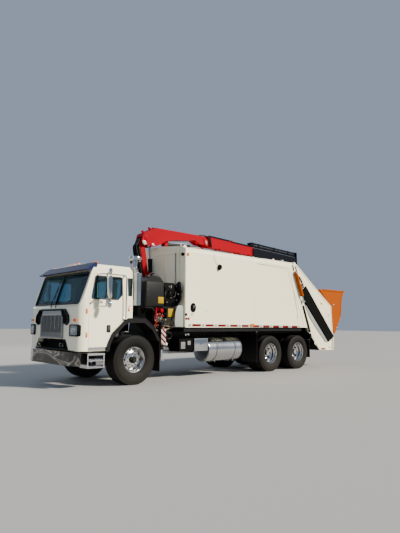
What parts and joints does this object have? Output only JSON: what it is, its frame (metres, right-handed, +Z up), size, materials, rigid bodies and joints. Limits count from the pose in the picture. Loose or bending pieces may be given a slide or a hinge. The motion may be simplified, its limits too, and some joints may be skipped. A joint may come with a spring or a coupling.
{
  "type": "garbage truck with loader crane",
  "caption": "Rear-loading refuse truck with tilting cab, compactor body, lifting tailgate with open hopper, and a folding loader crane laid back over the body.",
  "frame": {"origin": "middle of the bounding box, on the ground", "axes": "+X forward, +Y to the vehicle's left, +Z up"},
  "size_m": [10.65, 3.11, 4.0465],
  "materials": {
    "white_paint": "gloss",
    "chassis_black": "satin",
    "crane_red": "gloss",
    "orange_paint": "gloss",
    "polished_aluminium": "polished",
    "chrome": "polished",
    "tyre": "matte",
    "black_plastic": "matte",
    "glass": "clear",
    "lamp": "gloss",
    "navy_paint": "gloss",
    "trim_grey": "matte",
    "rod_steel": "polished",
    "grey_paint": "satin"
  },
  "bodies": {
    "chassis": {"frame": "chassis_black", "front_bumper": "chrome", "front_axle": "chassis_black", "rear_axles": "chassis_black", "engine": "grey_paint", "fenders": "black_plastic", "entry_steps": "polished_aluminium", "air_intake": "chrome", "fuel_tank": "polished_aluminium", "side_boxes": "polished_aluminium", "crane_base": "chassis_black", "crane_controls": "chassis_black", "oil_tank": "grey_paint", "load_body": "white_paint", "body_subframe": "chassis_black"},
    "cab": {"cab_shell": "white_paint", "cab_glass": "glass", "cab_interior": "trim_grey", "sun_visor": "navy_paint", "cab_lamps": "lamp", "grille": "chrome", "grille_surround": "black_plastic"},
    "crane_column": {"crane_column": "crane_red"},
    "main_boom": {"main_boom": "crane_red"},
    "second_boom": {"second_boom": "crane_red"},
    "boom_extension": {"boom_extension": "chassis_black"},
    "lift_barrel": {"lift_barrel": "chassis_black"},
    "lift_rod": {"lift_rod": "rod_steel"},
    "boom_barrel": {"boom_barrel": "chassis_black"},
    "boom_rod": {"boom_rod": "rod_steel"},
    "tailgate": {"tailgate_shell": "white_paint", "tailgate_covers": "black_plastic", "loading_hopper": "orange_paint"},
    "tailgate_barrels": {"tailgate_barrels": "orange_paint"},
    "tailgate_rods": {"tailgate_rods": "rod_steel"},
    "sweep_blade": {"sweep_blade": "grey_paint"},
    "door_left": {"door_left": "white_paint", "door_glass_left": "glass", "mirror_left": "chrome"},
    "knuckle_left": {"knuckle_left": "chassis_black"},
    "front_wheel_left": {"front_tyre_left": "tyre", "front_wheel_left": "polished_aluminium"},
    "middle_wheels_left": {"middle_tyres_left": "tyre", "middle_wheels_left": "polished_aluminium"},
    "rear_wheels_left": {"rear_tyres_left": "tyre", "rear_wheels_left": "polished_aluminium"},
    "outrigger_beam_left": {"outrigger_beam_left": "chassis_black"},
    "outrigger_leg_left": {"outrigger_leg_left": "rod_steel"},
    "door_right": {"door_right": "white_paint", "door_glass_right": "glass", "mirror_right": "chrome"},
    "knuckle_right": {"knuckle_right": "chassis_black"},
    "front_wheel_right": {"front_tyre_right": "tyre", "front_wheel_right": "polished_aluminium"},
    "middle_wheels_right": {"middle_tyres_right": "tyre", "middle_wheels_right": "polished_aluminium"},
    "rear_wheels_right": {"rear_tyres_right": "tyre", "rear_wheels_right": "polished_aluminium"},
    "outrigger_beam_right": {"outrigger_beam_right": "chassis_black"},
    "outrigger_leg_right": {"outrigger_leg_right": "rod_steel"}
  },
  "joints": [
    {"name": "cab_tilt", "type": "hinge", "parent": "chassis", "child": "cab", "pos_m": [5.195, 0, 0.8], "axis": [0, 1, 0], "range_deg": [0, 45]},
    {"name": "door_left_hinge", "type": "hinge", "parent": "cab", "child": "door_left", "pos_m": [5.007, 1.204, 1.6], "axis": [0, 0, -1], "range_deg": [0, 70]},
    {"name": "steer_left", "type": "hinge", "parent": "chassis", "child": "knuckle_left", "pos_m": [3.795, 0.82, 0.561], "axis": [0, 0, 1], "range_deg": [-35, 35]},
    {"name": "front_wheel_left_spin", "type": "hinge", "parent": "knuckle_left", "child": "front_wheel_left", "pos_m": [3.795, 1.012, 0.561], "axis": [0, 1, 0], "continuous": true},
    {"name": "middle_wheels_left_spin", "type": "hinge", "parent": "chassis", "child": "middle_wheels_left", "pos_m": [-1.09, 1.08, 0.524], "axis": [0, 1, 0], "continuous": true},
    {"name": "rear_wheels_left_spin", "type": "hinge", "parent": "chassis", "child": "rear_wheels_left", "pos_m": [-2.442, 1.08, 0.524], "axis": [0, 1, 0], "continuous": true},
    {"name": "outrigger_beam_left_slide", "type": "slide", "parent": "chassis", "child": "outrigger_beam_left", "axis": [0, 1, 0], "range_m": [0, 0.7]},
    {"name": "outrigger_leg_left_slide", "type": "slide", "parent": "outrigger_beam_left", "child": "outrigger_leg_left", "axis": [0, 0, -1], "range_m": [0, 0.5]},
    {"name": "door_right_hinge", "type": "hinge", "parent": "cab", "child": "door_right", "pos_m": [5.007, -1.204, 1.6], "axis": [0, 0, 1], "range_deg": [0, 70]},
    {"name": "steer_right", "type": "hinge", "parent": "chassis", "child": "knuckle_right", "pos_m": [3.795, -0.82, 0.561], "axis": [0, 0, 1], "range_deg": [-35, 35]},
    {"name": "front_wheel_right_spin", "type": "hinge", "parent": "knuckle_right", "child": "front_wheel_right", "pos_m": [3.795, -1.012, 0.561], "axis": [0, 1, 0], "continuous": true},
    {"name": "middle_wheels_right_spin", "type": "hinge", "parent": "chassis", "child": "middle_wheels_right", "pos_m": [-1.09, -1.08, 0.524], "axis": [0, 1, 0], "continuous": true},
    {"name": "rear_wheels_right_spin", "type": "hinge", "parent": "chassis", "child": "rear_wheels_right", "pos_m": [-2.442, -1.08, 0.524], "axis": [0, 1, 0], "continuous": true},
    {"name": "outrigger_beam_right_slide", "type": "slide", "parent": "chassis", "child": "outrigger_beam_right", "axis": [0, -1, 0], "range_m": [0, 0.7]},
    {"name": "outrigger_leg_right_slide", "type": "slide", "parent": "outrigger_beam_right", "child": "outrigger_leg_right", "axis": [0, 0, -1], "range_m": [0, 0.5]},
    {"name": "crane_slew", "type": "hinge", "parent": "chassis", "child": "crane_column", "pos_m": [2.735, 0, 1.74], "axis": [0, 0, 1], "range_deg": [-200, 200]},
    {"name": "boom_lift", "type": "hinge", "parent": "crane_column", "child": "main_boom", "pos_m": [2.832, 0, 3.496], "axis": [0, 1, 0], "range_deg": [0, 75]},
    {"name": "boom_fold", "type": "hinge", "parent": "main_boom", "child": "second_boom", "pos_m": [0.595, 0, 3.775], "axis": [0, 1, 0], "range_deg": [0, 15]},
    {"name": "extension_slide", "type": "slide", "parent": "second_boom", "child": "boom_extension", "axis": [-0.9993, 0, -0.0384], "range_m": [0, 1.3]},
    {"name": "lift_barrel_pivot", "type": "hinge", "parent": "crane_column", "child": "lift_barrel", "pos_m": [2.495, 0, 2.64], "axis": [0, 1, 0], "range_deg": [-1, 7.23]},
    {"name": "lift_rod_slide", "type": "slide", "parent": "lift_barrel", "child": "lift_rod", "axis": [0.0601, 0, 0.9982], "range_m": [-0.005, 0.3485]},
    {"name": "boom_barrel_pivot", "type": "hinge", "parent": "main_boom", "child": "boom_barrel", "pos_m": [2.035, 0, 3.555], "axis": [0, 1, 0], "range_deg": [-1.46, 1]},
    {"name": "boom_rod_slide", "type": "slide", "parent": "boom_barrel", "child": "boom_rod", "axis": [-0.9985, 0, 0.0539], "range_m": [-0.005, 0.0435]},
    {"name": "tailgate_hinge", "type": "hinge", "parent": "chassis", "child": "tailgate", "pos_m": [-2.255, 0, 3.33], "axis": [0, 1, 0], "range_deg": [0, 30]},
    {"name": "tailgate_barrel_pivot", "type": "hinge", "parent": "chassis", "child": "tailgate_barrels", "pos_m": [-2.275, 0, 3.02], "axis": [0, 1, 0], "range_deg": [-1, 38.36]},
    {"name": "tailgate_rod_slide", "type": "slide", "parent": "tailgate_barrels", "child": "tailgate_rods", "axis": [-0.4108, 0, -0.9117], "range_m": [-0.005, 0.0968]},
    {"name": "sweep_blade_hinge", "type": "hinge", "parent": "tailgate", "child": "sweep_blade", "pos_m": [-3.705, 0, 1.98], "axis": [0, 1, 0], "range_deg": [-25, 40]}
  ],
  "couplings": [
    {"joint": "steer_right", "follows": "steer_left", "ratio": 1},
    {"joint": "lift_barrel_pivot", "follows": "boom_lift", "ratio": 0.083113},
    {"joint": "lift_rod_slide", "follows": "boom_lift", "m_per_rad": 0.26244},
    {"joint": "boom_barrel_pivot", "follows": "boom_fold", "ratio": -0.030503},
    {"joint": "boom_rod_slide", "follows": "boom_fold", "m_per_rad": 0.14693},
    {"joint": "tailgate_barrel_pivot", "follows": "tailgate_hinge", "ratio": 1.2453},
    {"joint": "tailgate_rod_slide", "follows": "tailgate_hinge", "m_per_rad": 0.17524}
  ]
}
